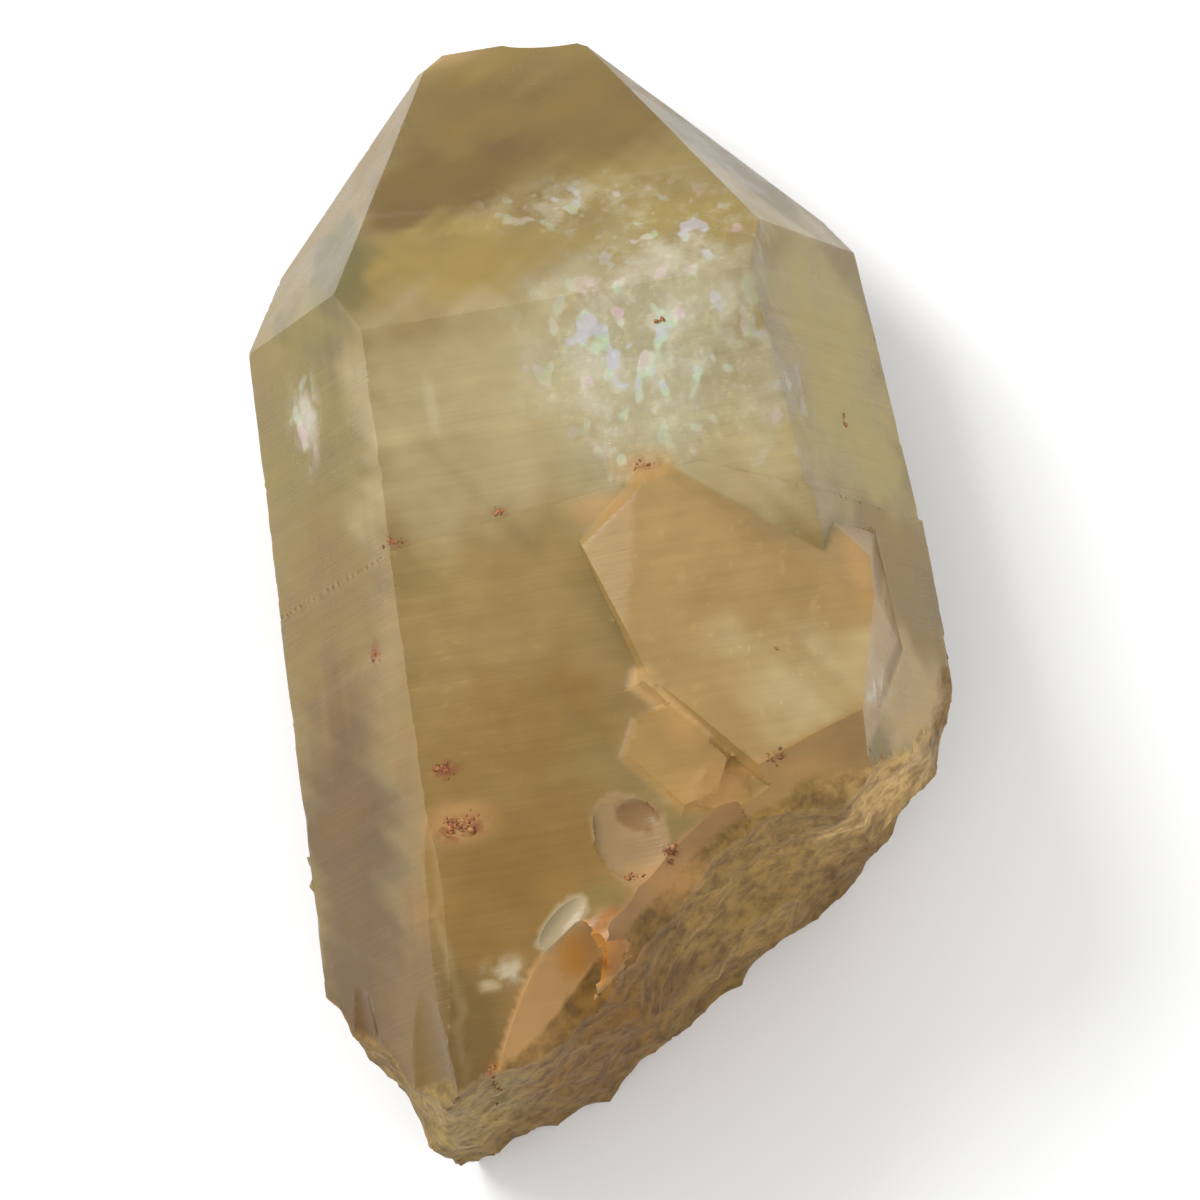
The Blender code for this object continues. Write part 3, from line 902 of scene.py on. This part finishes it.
# flat glints and wisps under the top: middle, reach, how deep, how many, (length, width) and
# the way they run in degrees
innerGlints = {
    "iris sheet": ((6.0, 15.5), (7.5, 8.0), (0.25, 1.4), 520, (0.32, 0.22), 70),
    "iris high": ((8.0, 24.0), (5.5, 4.0), (0.25, 1.5), 240, (0.28, 0.18), 40),
    "iris low": ((2.4, 10.5), (1.2, 4.0), (0.2, 0.8), 120, (0.30, 0.14), 80),
    "point wisps": ((-1.0, 30.0), (8.0, 2.6), (0.3, 2.0), 110, (0.8, 0.16), 15),
    "root glints": ((-11.2, -24.5), (1.8, 1.2), (0.15, 0.9), 60, (0.34, 0.24), 50),
    "left wisps": ((-10.0, -4.0), (6.5, 9.0), (0.3, 2.2), 90, (0.42, 0.12), 5),
    "second glints": ((8.0, -3.0), (7.0, 8.0), (0.25, 1.6), 110, (0.28, 0.14), 60),
    "edge glints": ((-14.4, 6.0), (0.8, 4.0), (0.1, 0.5), 40, (0.22, 0.16), 90),
}


def glintMaterial():
    shade = Shade("veil_glint")
    hue = shade.attribute("hue")
    stops = [
        (0.0, (0.95, 0.93, 0.84, 1)),
        (0.72, (0.96, 0.95, 0.90, 1)),
        (0.80, (0.95, 0.66, 0.74, 1)),
        (0.88, (0.66, 0.92, 0.72, 1)),
        (0.96, (0.68, 0.78, 0.98, 1)),
    ]
    shade.fill(shade.shader.inputs["Base Color"], shade.ramp(hue, stops))
    cloudy = shade.ranged(shade.noise(900, 2), 0.3, 0.7, 0.08, 0.35)
    shade.fill(shade.shader.inputs["Roughness"], cloudy)
    shade.shader.inputs["Specular IOR Level"].default_value = 0.8
    return shade.material


def makeInnerGlints():
    draw = np.random.default_rng(71)
    parts, hues, passed = [], [], 0
    for middle, reach, depths, count, size, runs in innerGlints.values():
        far = np.sqrt(draw.uniform(0, 1, count))
        turn = draw.uniform(0, 2 * np.pi, count)
        x = middle[0] + reach[0] * far * np.cos(turn)
        y = middle[1] + reach[1] * far * np.sin(turn)
        wave = 0.35 * np.sin(0.9 * x + 0.5 * y)
        z = topHeight(x, y) - np.maximum(draw.uniform(*depths, count) + wave, 0.12)
        axes = tumbledAxes(count, 0.5, math.radians(runs), 0.6, draw)
        scale = draw.lognormal(0, 0.45, count)
        radii = np.stack([scale * size[0], scale * size[1], np.full(count, 0.02)], axis=1)
        vertices, faces = lensCloud(np.stack([x, y, z], axis=1), axes, radii, 7, 0.35, draw)
        inside = stoneField(vertices).reshape(count, -1).max(axis=1) < -0.04
        keep = np.repeat(inside, 9)
        order = np.cumsum(keep) - 1
        faces = order[faces.reshape(count, -1, 3)[inside].reshape(-1, 3)]
        parts.append((vertices[keep], faces + passed))
        hues.append(np.repeat(draw.uniform(0, 1, count)[inside], 9))
        passed += keep.sum()
    vertices = np.concatenate([part[0] for part in parts])
    faces = np.concatenate([part[1] for part in parts])
    glints = meshPiece("veil_glints", vertices, faces, glintMaterial())
    addShare(glints, "hue", np.concatenate(hues))
    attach(glints, "root")
    print("veil glints:", len(faces), "faces")


# iron crumbs on the surface: middle, reach, how many, radius
rustCrumbs = {
    "band": ((-12.8, -10.6), (0.9, 0.5), 26, 0.10),
    "low": ((-12.4, -14.6), (1.5, 0.8), 60, 0.11),
    "knob": ((1.1, -18.6), (0.45, 0.7), 26, 0.11),
    "window foot": ((-1.7, -19.8), (0.7, 0.25), 26, 0.08),
    "under second": ((9.1, -13.7), (0.8, 0.45), 30, 0.10),
    "flake foot": ((-13.0, -31.6), (0.3, 1.1), 26, 0.09),
    "left edge": ((-13.6, 5.6), (0.8, 0.2), 18, 0.08),
    "face": ((-6.2, 6.5), (0.4, 0.3), 9, 0.07),
    "left face": ((-16.1, -1.2), (0.4, 0.6), 20, 0.08),
    "second": ((10.4, -6.4), (0.16, 0.16), 5, 0.08),
    "apex": ((4.0, 8.1), (0.9, 0.4), 16, 0.07),
    "iris flake": ((6.8, 18.1), (0.5, 0.14), 10, 0.09),
    "right flake": ((18.6, 11.0), (0.12, 0.5), 9, 0.09),
}


def rustMaterial():
    shade = Shade("iron_crumb")
    colours = shade.ramp(
        shade.noise(2600, 3, 0.6),
        [(0.35, (0.10, 0.035, 0.012, 1)), (0.5, (0.27, 0.095, 0.026, 1)), (0.66, (0.42, 0.18, 0.06, 1))],
    )
    shade.fill(shade.shader.inputs["Base Color"], colours)
    shade.fill(shade.shader.inputs["Roughness"], shade.ranged(shade.noise(1900, 2), 0.3, 0.7, 0.45, 0.85))
    return shade.material


def makeRustCrumbs():
    draw = np.random.default_rng(83)
    parts, passed = [], 0
    for middle, reach, count, size in rustCrumbs.values():
        x = middle[0] + reach[0] * draw.normal(0, 0.45, count)
        y = middle[1] + reach[1] * draw.normal(0, 0.45, count)
        axes = tumbledAxes(count, 0.9, 0.0, 3.1, draw)
        scale = size * draw.lognormal(0, 0.55, count)
        radii = scale[:, None] * draw.uniform((0.8, 0.6, 0.35), (1.3, 1.0, 0.6), (count, 3))
        vertices, faces = lensCloud(np.stack([x, y, topHeight(x, y)], axis=1), axes, radii, 8, 0.3, draw)
        parts.append((vertices, faces + passed))
        passed += len(vertices)
    vertices = np.concatenate([part[0] for part in parts])
    faces = np.concatenate([part[1] for part in parts])
    crumbs = meshPiece("iron_crumbs", vertices, faces, rustMaterial())
    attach(crumbs, "root")
    print("iron crumbs:", len(faces), "faces")


studio = {
    "cameraPlace": (-0.01495, -0.09095, 0.40408),
    "cameraTarget": (0.0, -0.00368, 0.014),
    "focalPixels": 5714,
    "pictureWidth": 1200,
    "sensor": 36.0,
    "sky": 0.95,
    "floorColour": (0.93, 0.93, 0.93, 1),
    "lampPlace": (-0.35, 0.30, 0.45),
    "lampTarget": (0, 0, 0.015),
    "lampSize": 0.35,
    "lampWatts": 3.0,
    "floorDrop": 0.00005,  # keeps the floor just clear of the resting face
    "floorSide": 3.0,
    "bounces": {
        "max_bounces": 4,
        "diffuse_bounces": 1,
        "glossy_bounces": 1,
        "transmission_bounces": 4,
    },
}


def makeFloor():
    half, drop = studio["floorSide"] / 2, studio["floorDrop"]
    corners = [(-half, -half, -drop), (half, -half, -drop), (half, half, -drop), (-half, half, -drop)]
    mesh = bpy.data.meshes.new("studio_floor")
    mesh.from_pydata(corners, [], [(0, 1, 2, 3)])
    floor = bpy.data.objects.new("studio_floor", mesh)
    bpy.context.scene.collection.objects.link(floor)
    shade = Shade("pale_paper")
    shade.shader.inputs["Base Color"].default_value = studio["floorColour"]
    shade.shader.inputs["Roughness"].default_value = 0.9
    mesh.materials.append(shade.material)


def addAimed(name, data, place, target):
    # a lamp or camera at a place, turned to look at its target
    place, target = Vector(place), Vector(target)
    holder = bpy.data.objects.new(name, data)
    holder.location = place
    holder.rotation_mode = "QUATERNION"
    holder.rotation_quaternion = (target - place).to_track_quat("-Z", "Y")
    bpy.context.scene.collection.objects.link(holder)
    return holder


def makeStudio():
    scene = bpy.context.scene
    world = bpy.data.worlds.new("soft_sky")
    world.use_nodes = True
    sky = world.node_tree.nodes["Background"]
    sky.inputs["Color"].default_value = (1.0, 1.0, 1.0, 1)
    sky.inputs["Strength"].default_value = studio["sky"]
    scene.world = world
    scene.view_settings.view_transform = "Standard"
    for kind, bounces in studio["bounces"].items():
        setattr(scene.cycles, kind, bounces)
    makeFloor()
    lamp = bpy.data.lights.new("window_light", "AREA")
    lamp.shape = "DISK"
    lamp.size = studio["lampSize"]
    lamp.energy = studio["lampWatts"]
    addAimed("window_light", lamp, studio["lampPlace"], studio["lampTarget"])
    camera = bpy.data.cameras.new("photo_camera")
    camera.sensor_width = studio["sensor"]
    camera.lens = studio["focalPixels"] / studio["pictureWidth"] * studio["sensor"]
    camera.clip_start = 0.01
    scene.camera = addAimed("photo_camera", camera, studio["cameraPlace"], studio["cameraTarget"])
    print("studio ready")


makeStudio()
makeStone()
makeInnerGlints()
makeRustCrumbs()
